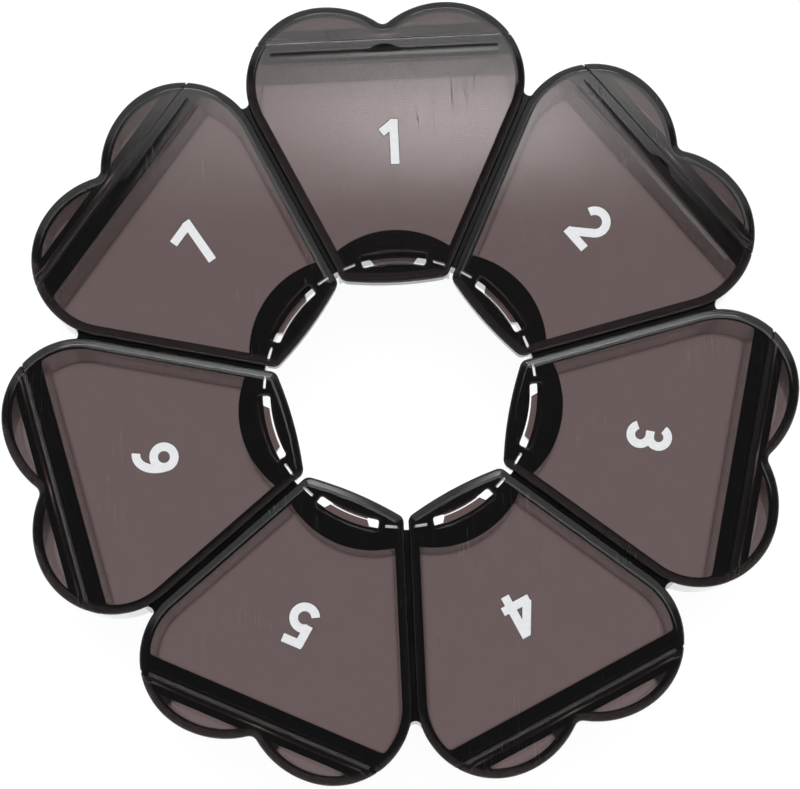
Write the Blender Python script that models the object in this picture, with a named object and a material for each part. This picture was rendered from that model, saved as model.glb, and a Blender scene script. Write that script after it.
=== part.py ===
# Weekly pill organizer: seven heart-shaped pill boxes in a ring, one for each day of the week.
# Each day has a cup, a lid that swings up from a thin crease, and a fixed cover over the heart's two lobes.
# Metres, +Z up. The ring stands on z = 0 with its centre on the Z axis, and monday's heart points along +Y.

import math

import bmesh
import bpy
from mathutils import Matrix, Vector

# The days, clockwise as seen from above
DAYS = ("mon", "tue", "wed", "thu", "fri", "sat", "sun")
DAY_ANGLE = 2 * math.pi / len(DAYS)
HALF_ANGLE = DAY_ANGLE / 2

# Heights of the whole
TOTAL_HEIGHT = 0.0222
PLATE_THICKNESS = 0.0016
SEAT_CLEARANCE = 0.0003
FLOOR_THICKNESS = 0.0012
LOBE_FLOOR_THICKNESS = 0.0016

# Plan of one heart
PETAL_GAP = 0.0008
PETAL_HALF_WIDTH = 0.02395
SHOULDER_RADIUS = 0.0133
CROWN_RADIUS = 0.0158
CROWN_LEAN = math.radians(9.3)
CLEFT_RADIUS = 0.0015

# Lip of the lid, at the ring's hole
LIP_DISTANCE = 0.0188
LIP_RADIUS = 0.063
LIP_CORNER_RADIUS = 0.0015

# Rounded top edge of lids and covers
EDGE_WIDTH = 0.0013
EDGE_DEPTH = 0.00085
EDGE_WIDTH_SHARE = 0.35
EDGE_DEPTH_SHARE = 0.3

# Hinge crease, short of the heart's cleft: lid and cover both thin down to it from below
HINGE_SETBACK = 0.00281
CREASE_GAP = 0.0003
CREASE_THICKNESS = 0.00045

# Walls of the cup
WALL = 0.0016
WALL_SETBACK = 0.0001
WALL_DRAFT = 0.0003
REAR_WALL_SETBACK = 0.00325
REAR_CORNER_RADIUS = 0.0009
LOBE_WALL_SETBACK = 0.00235
FRONT_WALL_RADIUS = 0.0158
FRONT_WALL_CENTRE = 0.01173
FLOOR_EDGE = 0.0008

# Decks of the cup, behind its rear wall and in front of its front wall, where the lip reaches over the hole
DECK_THICKNESS = 0.008
LIP_OVERHANG = 0.0046

# Catch ledge on the front deck
LEDGE_REACH = 0.0011
LEDGE_THICKNESS = 0.003
LEDGE_HALF_LENGTH = 0.0034
LEDGE_CHAMFER = 0.0009

# Webs between one cup and the next
WEB_DROP = 0.0005
WEB_THICKNESS = 0.006
WEB_SEAM = 0.0003
WEB_END_BEYOND = 0.0029
WEB_POST_LENGTH = 0.0026
WEB_POST_SETBACK = 0.0014
WEB_FOOT_LIFT = 0.0006
WEB_ROOT_SHARE = 0.4

# Curved slot through the lid's lip and the slit at each end of it, all on one arc about the ring's centre
SLOT_WIDTH = 0.0023
SLOT_HALF_LENGTH = 0.0056
SLOT_RIM_WIDTH = 0.0004
SLOT_RIM_DEPTH = 0.0003
SLIT_WIDTH = 0.0005
SLIT_START = 0.0068
SLIT_END = 0.0088

# Thick lip under the plate, with a bay behind it for the catch ledge
BLOCK_SETBACK = 0.00045
BLOCK_CLEARANCE = 0.0003
BLOCK_TIP = 0.0003
BAY_MARGIN = 0.0008

# Bead on the thick lip that snaps past the ledge
BEAD_CLEARANCE = 0.0003
BEAD_REACH = 0.0003
BEAD_HEIGHT = 0.0006
BEAD_HALF_LENGTH = 0.0032
SLOT_CLEARANCE = 0.0001

# Moulding gate, a shallow lens in the lid's top beside the crease
GATE_LENGTH = 0.0063
GATE_WIDTH = 0.00145
GATE_DEPTH = 0.0003
GATE_SETBACK = 0.0022

# Smoke-coloured plastic of each kind of piece
CUP_COLOUR = (0.020, 0.016, 0.016)
LID_COLOUR = (0.050, 0.040, 0.039)
COVER_COLOUR = (0.035, 0.028, 0.027)
CUP_ROUGHNESS = 0.12
PLATE_ROUGHNESS = 0.06
SHARP_ANGLE = math.radians(25)

# Straight pieces that make up an arc, by its length
LONG_ARC = 14
MIDDLE_ARC = 7
SHORT_ARC = 3
ROUND_SIDES = 16

# How far a cutter runs past what it cuts and a joined solid into what carries it
OVERRUN = 0.0002
SAME_POINT = 0.000001

# Values worked out from the sizes
RING_CENTRE = (0, 0)
RING_HOLE_RADIUS = LIP_DISTANCE + LIP_OVERHANG
PLATE_UNDERSIDE = TOTAL_HEIGHT - PLATE_THICKNESS
CUP_RIM = PLATE_UNDERSIDE - SEAT_CLEARANCE
DECK_UNDERSIDE = CUP_RIM - DECK_THICKNESS
WEB_TOP = CUP_RIM - WEB_DROP
HALF_GAP = PETAL_GAP / 2
INSIDE_WALL = WALL_SETBACK + WALL
SHOULDER_ACROSS = PETAL_HALF_WIDTH - SHOULDER_RADIUS
SHOULDER_OUT = (
    SHOULDER_RADIUS + HALF_GAP + SHOULDER_ACROSS * math.cos(HALF_ANGLE)
) / math.sin(HALF_ANGLE)
SHOULDER_CENTRE = (SHOULDER_ACROSS, SHOULDER_OUT)
SHOULDER_ALONG = SHOULDER_ACROSS * math.sin(HALF_ANGLE) + SHOULDER_OUT * math.cos(HALF_ANGLE)
CROWN_ACROSS = SHOULDER_ACROSS - (CROWN_RADIUS - SHOULDER_RADIUS) * math.sin(CROWN_LEAN)
CROWN_OUT = SHOULDER_OUT - (CROWN_RADIUS - SHOULDER_RADIUS) * math.cos(CROWN_LEAN)
CROWN_CENTRE = (CROWN_ACROSS, CROWN_OUT)
CLEFT_OUT = CROWN_OUT + math.sqrt((CROWN_RADIUS + CLEFT_RADIUS) ** 2 - CROWN_ACROSS**2)
HINGE_DISTANCE = CLEFT_OUT - CLEFT_RADIUS - HINGE_SETBACK
HINGE_BEYOND = HINGE_DISTANCE - SHOULDER_OUT
CREASE_HALF_LENGTH = SHOULDER_ACROSS + math.sqrt((SHOULDER_RADIUS - EDGE_WIDTH) ** 2 - HINGE_BEYOND**2)
REAR_WALL_DISTANCE = HINGE_DISTANCE - REAR_WALL_SETBACK
LOBE_WALL_DISTANCE = HINGE_DISTANCE + LOBE_WALL_SETBACK
CROWN_START = math.pi / 2 - CROWN_LEAN
CROWN_END = math.atan2(CLEFT_OUT - CROWN_OUT, -CROWN_ACROSS)
LIP_CENTRE = (0, LIP_DISTANCE + LIP_RADIUS)
FRONT_WALL_MIDDLE = (0, FRONT_WALL_CENTRE)
LEDGE_UNDERSIDE = CUP_RIM - LEDGE_THICKNESS
BEAD_TOP = LEDGE_UNDERSIDE - BEAD_CLEARANCE
BEAD_BOTTOM = BEAD_TOP - BEAD_HEIGHT
BLOCK_BOTTOM = BEAD_BOTTOM - BLOCK_TIP
BEAD_ROOT_RADIUS = RING_HOLE_RADIUS - LEDGE_REACH - BEAD_CLEARANCE - BEAD_REACH
SLOT_NEAR_RADIUS = BEAD_ROOT_RADIUS + SLOT_CLEARANCE
SLOT_FAR_RADIUS = SLOT_NEAR_RADIUS + SLOT_WIDTH
SLOT_ARC_RADIUS = (SLOT_NEAR_RADIUS + SLOT_FAR_RADIUS) / 2
WEB_ROOT = HALF_GAP + WALL_SETBACK + WALL * WEB_ROOT_SHARE
WEB_END_DISTANCE = SHOULDER_ALONG + WEB_END_BEYOND
WEB_POST_START = RING_HOLE_RADIUS + WEB_POST_SETBACK


# Plan geometry. A plan point is (across, out): out runs from the ring's centre along the heart's middle.


def arc(centre, radius, start, end, pieces):
    """Points on a circle from one angle to another, both ends included."""
    angles = [start + (end - start) * i / pieces for i in range(pieces + 1)]
    return [(centre[0] + radius * math.cos(a), centre[1] + radius * math.sin(a)) for a in angles]


def direction(centre, point):
    """Angle at which a point is seen from a centre."""
    return math.atan2(point[1] - centre[1], point[0] - centre[0])


def mirrored(points):
    """The same points on the other side of the heart's middle, in the order that keeps their turn."""
    return [(-across, out) for across, out in reversed(points)]


def closed(right_half):
    """Whole outline from its right half, which runs from front to rear."""
    return right_half + [point for point in mirrored(right_half) if abs(point[0]) > SAME_POINT]


def beside_gap(along, offset):
    """Plan point from its place along the plane midway between two hearts and its offset from that plane."""
    across = along * math.sin(HALF_ANGLE) - offset * math.cos(HALF_ANGLE)
    out = along * math.cos(HALF_ANGLE) + offset * math.sin(HALF_ANGLE)
    return (across, out)


def side_meets_circle(offset, centre, radius, side):
    """Where a heart's straight side, offset from the gap's plane, meets a circle: near (-1) or far (1)."""
    along_centre = centre[0] * math.sin(HALF_ANGLE) + centre[1] * math.cos(HALF_ANGLE)
    offset_centre = centre[1] * math.sin(HALF_ANGLE) - centre[0] * math.cos(HALF_ANGLE)
    reach = math.sqrt(radius**2 - (offset - offset_centre) ** 2)
    return beside_gap(along_centre + side * reach, offset)


def shoulder(inset, start, end, pieces):
    """Part of the shoulder's arc, drawn in by an inset."""
    return arc(SHOULDER_CENTRE, SHOULDER_RADIUS - inset, start, end, pieces)


def shoulder_angle(inset, out):
    """Angle at which the shoulder's arc, drawn in by an inset, reaches a distance out."""
    return math.asin((out - SHOULDER_OUT) / (SHOULDER_RADIUS - inset))


def lobe_tip(inset):
    """The crown's arc and its half of the rounded cleft, drawn in by an inset."""
    crown = arc(CROWN_CENTRE, CROWN_RADIUS - inset, CROWN_START, CROWN_END, MIDDLE_ARC)
    cleft_centre = (0, CLEFT_OUT)
    cleft = arc(cleft_centre, CLEFT_RADIUS + inset, CROWN_END - math.pi, -math.pi / 2, SHORT_ARC)
    return crown[1:] + cleft[1:]


def band(centre, first_radius, second_radius, start, end, pieces):
    """Bar bent round a centre, between two radii and two angles."""
    first = arc(centre, first_radius, start, end, pieces)
    return first + arc(centre, second_radius, end, start, pieces)


def bent_bar(near, far, start, end, pieces):
    """Bar bent round the ring's centre, between two radii and two lengths along its middle arc."""
    middle = (near + far) / 2
    first, last = math.pi / 2 - start / middle, math.pi / 2 - end / middle
    return band(RING_CENTRE, near, far, first, last, pieces)


# Outlines of the pieces


def lip_edge(inset):
    """Right half of the lip's edge with its rounded corner."""
    corner = max(LIP_CORNER_RADIUS - inset, OVERRUN)
    reach = LIP_RADIUS - inset - corner
    corner_centre = side_meets_circle(HALF_GAP + inset + corner, LIP_CENTRE, reach, -1)
    lip_end = direction(LIP_CENTRE, corner_centre)
    half = arc(LIP_CENTRE, LIP_RADIUS - inset, -math.pi / 2, lip_end, SHORT_ARC)
    return half + arc(corner_centre, corner, lip_end, -HALF_ANGLE, SHORT_ARC)[1:]


def lid_outline(inset):
    """Lip with rounded corners, straight sides, shoulders, and a straight rear edge at the crease."""
    rear_angle = shoulder_angle(inset, HINGE_DISTANCE - CREASE_GAP / 2)
    return closed(lip_edge(inset) + shoulder(inset, -HALF_ANGLE, rear_angle, MIDDLE_ARC))


def cover_outline(inset):
    """A straight front edge at the crease, then the rest of the heart."""
    front_angle = shoulder_angle(inset, HINGE_DISTANCE + CREASE_GAP / 2)
    return closed(shoulder(inset, front_angle, CROWN_START, MIDDLE_ARC) + lobe_tip(inset))


def cup_outline(draft):
    """The whole heart inside the lid's and cover's edge, cut off in front by the ring's hole."""
    inset = WALL_SETBACK + draft
    hole = RING_HOLE_RADIUS + draft
    corner = side_meets_circle(HALF_GAP + inset, RING_CENTRE, hole, 1)
    half = arc(RING_CENTRE, hole, math.pi / 2, direction(RING_CENTRE, corner), SHORT_ARC)
    half += shoulder(inset, -HALF_ANGLE, CROWN_START, LONG_ARC) + lobe_tip(inset)
    return closed(half)


def pill_space_outline(inset):
    """The room for pills: a curved front wall, the cup's sides, and rounded corners at the rear wall."""
    side = INSIDE_WALL + inset
    front_radius = FRONT_WALL_RADIUS + inset
    corner = side_meets_circle(HALF_GAP + side, FRONT_WALL_MIDDLE, front_radius, 1)
    fillet_out = REAR_WALL_DISTANCE - inset - REAR_CORNER_RADIUS
    reach = SHOULDER_RADIUS - side - REAR_CORNER_RADIUS
    fillet_across = SHOULDER_ACROSS + math.sqrt(reach**2 - (fillet_out - SHOULDER_OUT) ** 2)
    fillet = (fillet_across, fillet_out)
    turn = direction(SHOULDER_CENTRE, fillet)
    half = arc(FRONT_WALL_MIDDLE, front_radius, math.pi / 2, direction(FRONT_WALL_MIDDLE, corner), SHORT_ARC)
    half += shoulder(side, -HALF_ANGLE, turn, MIDDLE_ARC)
    half += arc(fillet, REAR_CORNER_RADIUS, turn, math.pi / 2, SHORT_ARC)[1:]
    return closed(half)


def lobe_outline(inset):
    """The hollow in the right lobe: a straight front wall, then the shoulder's and the crown's arcs."""
    side = INSIDE_WALL + inset
    front = LOBE_WALL_DISTANCE + inset
    crown_end = math.pi - math.asin((front - CROWN_OUT) / (CROWN_RADIUS - side))
    outline = shoulder(side, shoulder_angle(side, front), CROWN_START, SHORT_ARC)
    return outline + arc(CROWN_CENTRE, CROWN_RADIUS - side, CROWN_START, crown_end, MIDDLE_ARC)[1:]


def rear_core_outline():
    """The space moulded from below between the pill room's rear wall and the lobes' front wall."""
    side = INSIDE_WALL + WALL_DRAFT
    start = shoulder_angle(side, REAR_WALL_DISTANCE + WALL)
    end = shoulder_angle(side, LOBE_WALL_DISTANCE - WALL)
    return closed(shoulder(side, start, end, SHORT_ARC))


def front_core_outline():
    """The space under the front deck, open to the ring's hole and closed behind by the curved front wall."""
    side = HALF_GAP + INSIDE_WALL + WALL_DRAFT
    hole = RING_HOLE_RADIUS - OVERRUN
    wall_face = FRONT_WALL_RADIUS - WALL
    near_corner = direction(RING_CENTRE, side_meets_circle(side, RING_CENTRE, hole, 1))
    far_corner = direction(FRONT_WALL_MIDDLE, side_meets_circle(side, FRONT_WALL_MIDDLE, wall_face, 1))
    half = arc(RING_CENTRE, hole, math.pi / 2, near_corner, SHORT_ARC)
    half += arc(FRONT_WALL_MIDDLE, wall_face, far_corner, math.pi / 2, SHORT_ARC)
    return closed(half)


def ledge_outline():
    """The catch ledge: a curved bar on the front deck's edge with chamfered ends."""
    tip = RING_HOLE_RADIUS - LEDGE_REACH
    tip_turn = LEDGE_HALF_LENGTH / tip
    root_turn = (LEDGE_HALF_LENGTH + LEDGE_CHAMFER) / RING_HOLE_RADIUS
    outline = arc(RING_CENTRE, tip, math.pi / 2 + tip_turn, math.pi / 2 - tip_turn, MIDDLE_ARC)
    root = RING_HOLE_RADIUS + OVERRUN
    outline += arc(RING_CENTRE, root, math.pi / 2 - root_turn, math.pi / 2 + root_turn, MIDDLE_ARC)
    return outline


def web_outline():
    """Right half web, from the seam between two cups into the cup's wall, with an arc at its outer end."""
    offset_shoulder = SHOULDER_RADIUS + HALF_GAP
    slack = SHOULDER_RADIUS - WALL_SETBACK - WEB_END_DISTANCE
    between = offset_shoulder**2 + SHOULDER_ALONG**2 - slack**2
    along_centre = between / (2 * (slack + SHOULDER_ALONG))
    radius = along_centre - WEB_END_DISTANCE
    towards_wall = math.atan2(offset_shoulder, SHOULDER_ALONG - along_centre)
    seam_turn = math.pi - math.asin(WEB_SEAM / 2 / radius)
    end = arc((along_centre, 0), radius, seam_turn, towards_wall, MIDDLE_ARC)
    depth = radius + WALL * WEB_ROOT_SHARE
    end.append((along_centre + depth * math.cos(towards_wall), depth * math.sin(towards_wall)))
    outline = [(RING_HOLE_RADIUS, WEB_SEAM / 2)] + end + [(RING_HOLE_RADIUS, WEB_ROOT)]
    return [beside_gap(along, offset) for along, offset in outline]


def web_space_outline(near, far):
    """Space left open under a web between two distances from the ring's centre."""
    seam, root = WEB_SEAM / 2 - OVERRUN, WEB_ROOT + OVERRUN
    outline = [(near, seam), (far, seam), (far, root), (near, root)]
    return [beside_gap(along, offset) for along, offset in outline]


def lip_block_outline():
    """The thick lip: as wide as the lid, as far back as the cup allows, with a bay for the catch ledge."""
    back = RING_HOLE_RADIUS - BLOCK_CLEARANCE
    corner = side_meets_circle(HALF_GAP + BLOCK_SETBACK, RING_CENTRE, back, 1)
    bay_side = math.pi / 2 - (SLOT_HALF_LENGTH + BAY_MARGIN) / SLOT_ARC_RADIUS
    half = lip_edge(BLOCK_SETBACK)
    half += arc(RING_CENTRE, back, direction(RING_CENTRE, corner), bay_side, SHORT_ARC)
    half += arc(RING_CENTRE, BEAD_ROOT_RADIUS, bay_side, math.pi / 2, SHORT_ARC)
    return closed(half)


def gate_outline():
    """Lens with a straight front edge and an arched rear edge."""
    radius = ((GATE_LENGTH / 2) ** 2 + GATE_WIDTH**2) / (2 * GATE_WIDTH)
    centre = (0, HINGE_DISTANCE - GATE_SETBACK + GATE_WIDTH - radius)
    turn = math.asin(GATE_LENGTH / 2 / radius)
    return arc(centre, radius, math.pi / 2 - turn, math.pi / 2 + turn, MIDDLE_ARC)


# Solids


def placed(name, data):
    """New object in the scene."""
    new = bpy.data.objects.new(name, data)
    bpy.context.scene.collection.objects.link(new)
    return new


def finished_mesh(name, bm):
    """Mesh from a bmesh whose faces are all turned outwards."""
    bmesh.ops.recalc_face_normals(bm, faces=bm.faces)
    mesh = bpy.data.meshes.new(name)
    bm.to_mesh(mesh)
    bm.free()
    return mesh


def evaluated_mesh(source):
    """Mesh of an object with its curve or modifiers worked out."""
    depsgraph = bpy.context.evaluated_depsgraph_get()
    return bpy.data.meshes.new_from_object(source.evaluated_get(depsgraph))


def loft(name, sections):
    """Solid through (outline, height) sections with as many points each: a face, extruded and reshaped."""
    bm = bmesh.new()
    outline, height = sections[0]
    face = bm.faces.new([bm.verts.new((across, out, height)) for across, out in outline])
    covered = []
    for outline, height in sections[1:]:
        covered.append(face)
        extruded = bmesh.ops.extrude_face_region(bm, geom=[face])["geom"]
        face = next(item for item in extruded if isinstance(item, bmesh.types.BMFace))
        for vertex, (across, out) in zip(face.verts, outline):
            vertex.co = (across, out, height)
    bmesh.ops.delete(bm, geom=covered[1:], context="FACES_ONLY")
    return placed(name, finished_mesh(name, bm))


def prism(name, outline, bottom, top):
    """Upright solid between two heights from a flat filled curve."""
    curve = bpy.data.curves.new(name, "CURVE")
    curve.dimensions = "2D"
    curve.fill_mode = "BOTH"
    curve.extrude = (top - bottom) / 2
    spline = curve.splines.new("POLY")
    spline.points.add(len(outline) - 1)
    for point, (across, out) in zip(spline.points, outline):
        point.co = (across, out, 0, 1)
    spline.use_cyclic_u = True
    flat = placed(name, curve)
    flat.location.z = (bottom + top) / 2
    bpy.context.view_layer.update()
    bm = bmesh.new()
    bm.from_mesh(evaluated_mesh(flat))
    bmesh.ops.remove_doubles(bm, verts=bm.verts, dist=SAME_POINT)
    solid = placed(name, finished_mesh(name, bm))
    solid.matrix_world = flat.matrix_world
    bpy.data.objects.remove(flat)
    return solid


def relief_cutter():
    """Cylinder along the crease, between the rounded edges, that thins the plates from below."""
    radius = PLATE_THICKNESS - CREASE_THICKNESS
    length = 2 * CREASE_HALF_LENGTH
    bm = bmesh.new()
    bmesh.ops.create_cone(
        bm, cap_ends=True, segments=ROUND_SIDES, radius1=radius, radius2=radius, depth=length
    )
    bm.transform(Matrix.Rotation(math.pi / 2, 4, "Y"))
    cutter = placed("relief", finished_mesh("relief", bm))
    cutter.location = (0, HINGE_DISTANCE, PLATE_UNDERSIDE)
    return cutter


def combine(body, operation, others):
    """Joins other solids to a body, or cuts them from it, and removes them."""
    for other in others:
        modifier = body.modifiers.new(other.name, "BOOLEAN")
        modifier.operation = operation
        modifier.solver = "EXACT"
        modifier.object = other
    bpy.context.view_layer.update()
    result = evaluated_mesh(body)
    body.modifiers.clear()
    body.data = result
    for other in others:
        bpy.data.objects.remove(other)


def taken_mesh(body):
    """Mesh of a finished body, shaded smooth except at its real edges, with the body itself removed."""
    mesh = body.data
    mesh.shade_smooth()
    mesh.set_sharp_from_angle(angle=SHARP_ANGLE)
    bpy.data.objects.remove(body)
    return mesh


# The cup


def web_solids():
    """Both half webs of a cup: a plate under the rim's level with a post under each end of it."""
    webs = []
    for turned in (list, mirrored):
        web = prism("web", turned(web_outline()), WEB_FOOT_LIFT, WEB_TOP)
        spaces = [
            web_space_outline(RING_HOLE_RADIUS - OVERRUN, WEB_POST_START),
            web_space_outline(WEB_POST_START + WEB_POST_LENGTH, WEB_END_DISTANCE - WEB_POST_LENGTH),
        ]
        cutters = [prism("web_space", turned(space), 0, WEB_TOP - WEB_THICKNESS) for space in spaces]
        combine(web, "DIFFERENCE", cutters)
        webs.append(web)
    return webs


def room_hollow():
    """Cutter for the pill room, with drafted walls and a bevelled edge at its floor."""
    return loft(
        "room",
        [
            (pill_space_outline(WALL_DRAFT + FLOOR_EDGE), FLOOR_THICKNESS),
            (pill_space_outline(WALL_DRAFT), FLOOR_THICKNESS + FLOOR_EDGE),
            (pill_space_outline(0), CUP_RIM + OVERRUN),
        ],
    )


def lobe_hollows():
    """Cutters for the hollows in the two lobes, with drafted walls."""
    sections = [(lobe_outline(WALL_DRAFT), LOBE_FLOOR_THICKNESS), (lobe_outline(0), CUP_RIM + OVERRUN)]
    mirror_sections = [(mirrored(outline), height) for outline, height in sections]
    return [loft("right_lobe", sections), loft("left_lobe", mirror_sections)]


def cup_mesh():
    """Drafted heart with a pill room, two hollow lobes, decks, a catch ledge and half webs at its sides."""
    cup = loft("cup", [(cup_outline(WALL_DRAFT), 0), (cup_outline(0), CUP_RIM)])
    ledge = prism("ledge", ledge_outline(), LEDGE_UNDERSIDE, CUP_RIM)
    combine(cup, "UNION", web_solids() + [ledge])
    rear_core = prism("rear_core", rear_core_outline(), -OVERRUN, DECK_UNDERSIDE)
    front_core = prism("front_core", front_core_outline(), -OVERRUN, DECK_UNDERSIDE)
    combine(cup, "DIFFERENCE", [room_hollow(), rear_core, front_core] + lobe_hollows())
    return taken_mesh(cup)


# The lid and the cover


def edged_plate(name, outline):
    """Plate with its top edge rounded over."""
    middle_inset = EDGE_WIDTH * EDGE_WIDTH_SHARE
    middle_height = TOTAL_HEIGHT - EDGE_DEPTH * EDGE_DEPTH_SHARE
    return loft(
        name,
        [
            (outline(0), PLATE_UNDERSIDE),
            (outline(0), TOTAL_HEIGHT - EDGE_DEPTH),
            (outline(middle_inset), middle_height),
            (outline(EDGE_WIDTH), TOTAL_HEIGHT),
        ],
    )


def lip_solids():
    """The thick lip and its bead."""
    bead_root = BEAD_ROOT_RADIUS - OVERRUN
    bead_tip = BEAD_ROOT_RADIUS + BEAD_REACH
    bead = bent_bar(bead_root, bead_tip, -BEAD_HALF_LENGTH, BEAD_HALF_LENGTH, MIDDLE_ARC)
    return [
        prism("block", lip_block_outline(), BLOCK_BOTTOM, PLATE_UNDERSIDE + OVERRUN),
        prism("bead", bead, BEAD_BOTTOM, BEAD_TOP),
    ]


def lip_cutters():
    """The curved slot, its sunk rim, and a slit at each end."""
    slot = bent_bar(SLOT_NEAR_RADIUS, SLOT_FAR_RADIUS, -SLOT_HALF_LENGTH, SLOT_HALF_LENGTH, MIDDLE_ARC)
    rim_near, rim_far = SLOT_NEAR_RADIUS - SLOT_RIM_WIDTH, SLOT_FAR_RADIUS + SLOT_RIM_WIDTH
    rim_length = SLOT_HALF_LENGTH + SLOT_RIM_WIDTH
    rim = bent_bar(rim_near, rim_far, -rim_length, rim_length, MIDDLE_ARC)
    slit_near, slit_far = SLOT_ARC_RADIUS - SLIT_WIDTH / 2, SLOT_ARC_RADIUS + SLIT_WIDTH / 2
    slit = bent_bar(slit_near, slit_far, SLIT_START, SLIT_END, SHORT_ARC)
    below, above = BLOCK_BOTTOM - OVERRUN, TOTAL_HEIGHT + OVERRUN
    return [
        prism("slot", slot, below, above),
        prism("slot_rim", rim, TOTAL_HEIGHT - SLOT_RIM_DEPTH, above),
        prism("right_slit", slit, below, above),
        prism("left_slit", mirrored(slit), below, above),
    ]


def lid_mesh():
    """Edged plate with a thick lip below, and a slot, slits and a gate in its top."""
    lid = edged_plate("lid", lid_outline)
    combine(lid, "UNION", lip_solids())
    gate = prism("gate", gate_outline(), TOTAL_HEIGHT - GATE_DEPTH, TOTAL_HEIGHT + OVERRUN)
    combine(lid, "DIFFERENCE", lip_cutters() + [gate, relief_cutter()])
    mesh = taken_mesh(lid)
    mesh.transform(Matrix.Translation((0, -HINGE_DISTANCE, -TOTAL_HEIGHT)))
    return mesh


def cover_mesh():
    """Edged plate over the heart's lobes."""
    cover = edged_plate("cover", cover_outline)
    combine(cover, "DIFFERENCE", [relief_cutter()])
    return taken_mesh(cover)


# Materials and the finished ring


def smoke_plastic(name, colour, roughness):
    """Dark see-through plastic."""
    material = bpy.data.materials.new(name)
    material.use_nodes = True
    shader = material.node_tree.nodes["Principled BSDF"]
    shader.inputs["Base Color"].default_value = (*colour, 1)
    shader.inputs["Roughness"].default_value = roughness
    shader.inputs["Metallic"].default_value = 0
    material.diffuse_color = (*colour, 1)
    return material


def add_piece(collection, name, mesh, turn, place, material):
    """One day's copy of a piece: the mesh is shared, and the material belongs to the object."""
    piece = bpy.data.objects.new(name, mesh)
    collection.objects.link(piece)
    piece.rotation_euler.z = -turn
    piece.location = Matrix.Rotation(-turn, 3, "Z") @ place
    piece.material_slots[0].link = "OBJECT"
    piece.material_slots[0].material = material


def main():
    for old in list(bpy.data.objects):
        bpy.data.objects.remove(old)
    collection = bpy.data.collections.new("pill_organizer")
    bpy.context.scene.collection.children.link(collection)
    centre = Vector((0, 0, 0))
    hinge = Vector((0, HINGE_DISTANCE, TOTAL_HEIGHT))
    kinds = {
        "cup": (cup_mesh(), centre, CUP_COLOUR, CUP_ROUGHNESS),
        "lid": (lid_mesh(), hinge, LID_COLOUR, PLATE_ROUGHNESS),
        "cover": (cover_mesh(), centre, COVER_COLOUR, PLATE_ROUGHNESS),
    }
    for mesh, _, _, _ in kinds.values():
        mesh.materials.append(None)
    for index, day in enumerate(DAYS):
        for kind, (mesh, place, colour, roughness) in kinds.items():
            name = f"{day}_{kind}"
            material = smoke_plastic(f"{name}_smoke", colour, roughness)
            add_piece(collection, name, mesh, index * DAY_ANGLE, place, material)


main()
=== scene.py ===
"""Looks of a weekly pill organizer: seven heart-shaped boxes of smoke-coloured plastic in a ring."""

import math

import bpy
import numpy as np
from bpy.props import FloatProperty, FloatVectorProperty, IntProperty, PointerProperty
from mathutils import Matrix, Vector


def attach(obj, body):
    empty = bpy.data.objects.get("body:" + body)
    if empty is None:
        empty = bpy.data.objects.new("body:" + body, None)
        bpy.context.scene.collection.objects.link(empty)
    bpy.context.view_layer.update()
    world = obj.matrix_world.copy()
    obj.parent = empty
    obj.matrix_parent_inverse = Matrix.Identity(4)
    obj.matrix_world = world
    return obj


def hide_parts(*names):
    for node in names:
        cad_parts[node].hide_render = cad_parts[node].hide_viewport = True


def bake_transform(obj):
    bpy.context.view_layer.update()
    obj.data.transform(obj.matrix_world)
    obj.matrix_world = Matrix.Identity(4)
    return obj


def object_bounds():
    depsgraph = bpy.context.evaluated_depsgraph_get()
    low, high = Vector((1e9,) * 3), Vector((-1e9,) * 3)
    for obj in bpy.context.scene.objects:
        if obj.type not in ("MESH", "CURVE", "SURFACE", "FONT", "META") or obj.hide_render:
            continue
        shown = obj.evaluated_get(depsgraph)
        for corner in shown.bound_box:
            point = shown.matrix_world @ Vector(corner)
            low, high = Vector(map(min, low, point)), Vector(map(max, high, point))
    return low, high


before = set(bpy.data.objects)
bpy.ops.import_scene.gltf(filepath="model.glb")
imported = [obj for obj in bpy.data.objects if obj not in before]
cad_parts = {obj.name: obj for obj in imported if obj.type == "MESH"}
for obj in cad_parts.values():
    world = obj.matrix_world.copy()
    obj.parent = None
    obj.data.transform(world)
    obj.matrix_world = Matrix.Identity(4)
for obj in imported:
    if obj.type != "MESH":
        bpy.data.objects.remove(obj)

bl_info = {
    "name": "Weekly pill organizer",
    "version": (1, 0, 0),
    "blender": (4, 5, 0),
    "location": "3D View > Sidebar > Pill organizer",
    "description": "Builds seven heart-shaped pill boxes in a ring, with hinged lids",
    "category": "Add Mesh",
}

CAD_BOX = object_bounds()
DAYS = ("mon", "tue", "wed", "thu", "fri", "sat", "sun")
DAY_ANGLE = 2 * math.pi / len(DAYS)
HALF_ANGLE = DAY_ANGLE / 2
UPRIGHT = math.pi / 2
RING_CENTRE = (0.0, 0.0)
SAME_POINT = 1e-6
CORNER_STEPS = 5
ROUND_STEPS = 24
SINK_POINTS = 13
FILM_POINTS = 9
STEADY = (0.01, 0.02, 0.98, 0.99)  # rings near a tall wall's ends, which keep its middle's shading straight
EDGE_SHAPE = (  # sloping edge of a lid from its side to its top, in shares of its width and depth
    (0.0, 1.0), (0.02, 0.86), (0.07, 0.70), (0.15, 0.58), (0.26, 0.49), (0.42, 0.39), (0.60, 0.27),
    (0.76, 0.165), (0.86, 0.10), (0.93, 0.063), (1.0, 0.036), (1.07, 0.017), (1.15, 0.005), (1.25, 0.0),
)
SMOOTH_ANGLE = math.radians(32)
LEVEL_NORMAL = 0.99999  # upright part of a level face's normal
PETAL = "petal"  # attribute with each point's place at the first heart, so that all hearts wave alike
WAVE_HEIGHT = 0.00001
SCRATCH_DEPTH = 0.000004
FILM_SHARE = 0.98  # share of the gap at the crease that a hinge film fills
SENSOR = 36.0
FLOOR_LEVEL = -0.0001
FLOOR_GLOW = 0.96
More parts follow.
